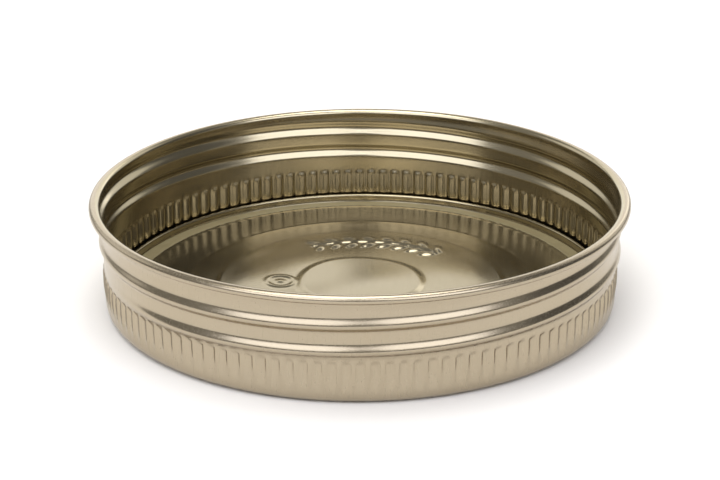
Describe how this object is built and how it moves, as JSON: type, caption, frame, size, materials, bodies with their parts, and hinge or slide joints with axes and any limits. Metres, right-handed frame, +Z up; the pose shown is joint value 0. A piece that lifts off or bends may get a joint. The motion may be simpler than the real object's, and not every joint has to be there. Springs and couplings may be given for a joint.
{
  "type": "screw band and lid",
  "caption": "Two-piece screw closure for a wide-mouth canning jar: a threaded tinplate band with a knurled skirt, and a loose flat lid with a ring of sealing compound.",
  "frame": {"origin": "centre of the flange's outer face, which the closure stands on", "axes": "+Z up the axis, from the flange towards the open rim"},
  "size_m": [0.0904, 0.0904, 0.0187],
  "materials": {
    "band_tinplate": "satin champagne lacquer on tinplate",
    "lid_tinplate": "glossy gold lacquer on tinplate",
    "sealing_compound": "satin"
  },
  "bodies": {
    "band": {"screw_band": "band_tinplate"},
    "lid": {"lid_disc": "lid_tinplate", "sealing_ring": "sealing_compound"}
  },
  "joints": [
    {"name": "lid_lift", "type": "slide", "parent": "band", "child": "lid", "axis": [0, 0, 1], "range_m": [0, 0.03]}
  ]
}
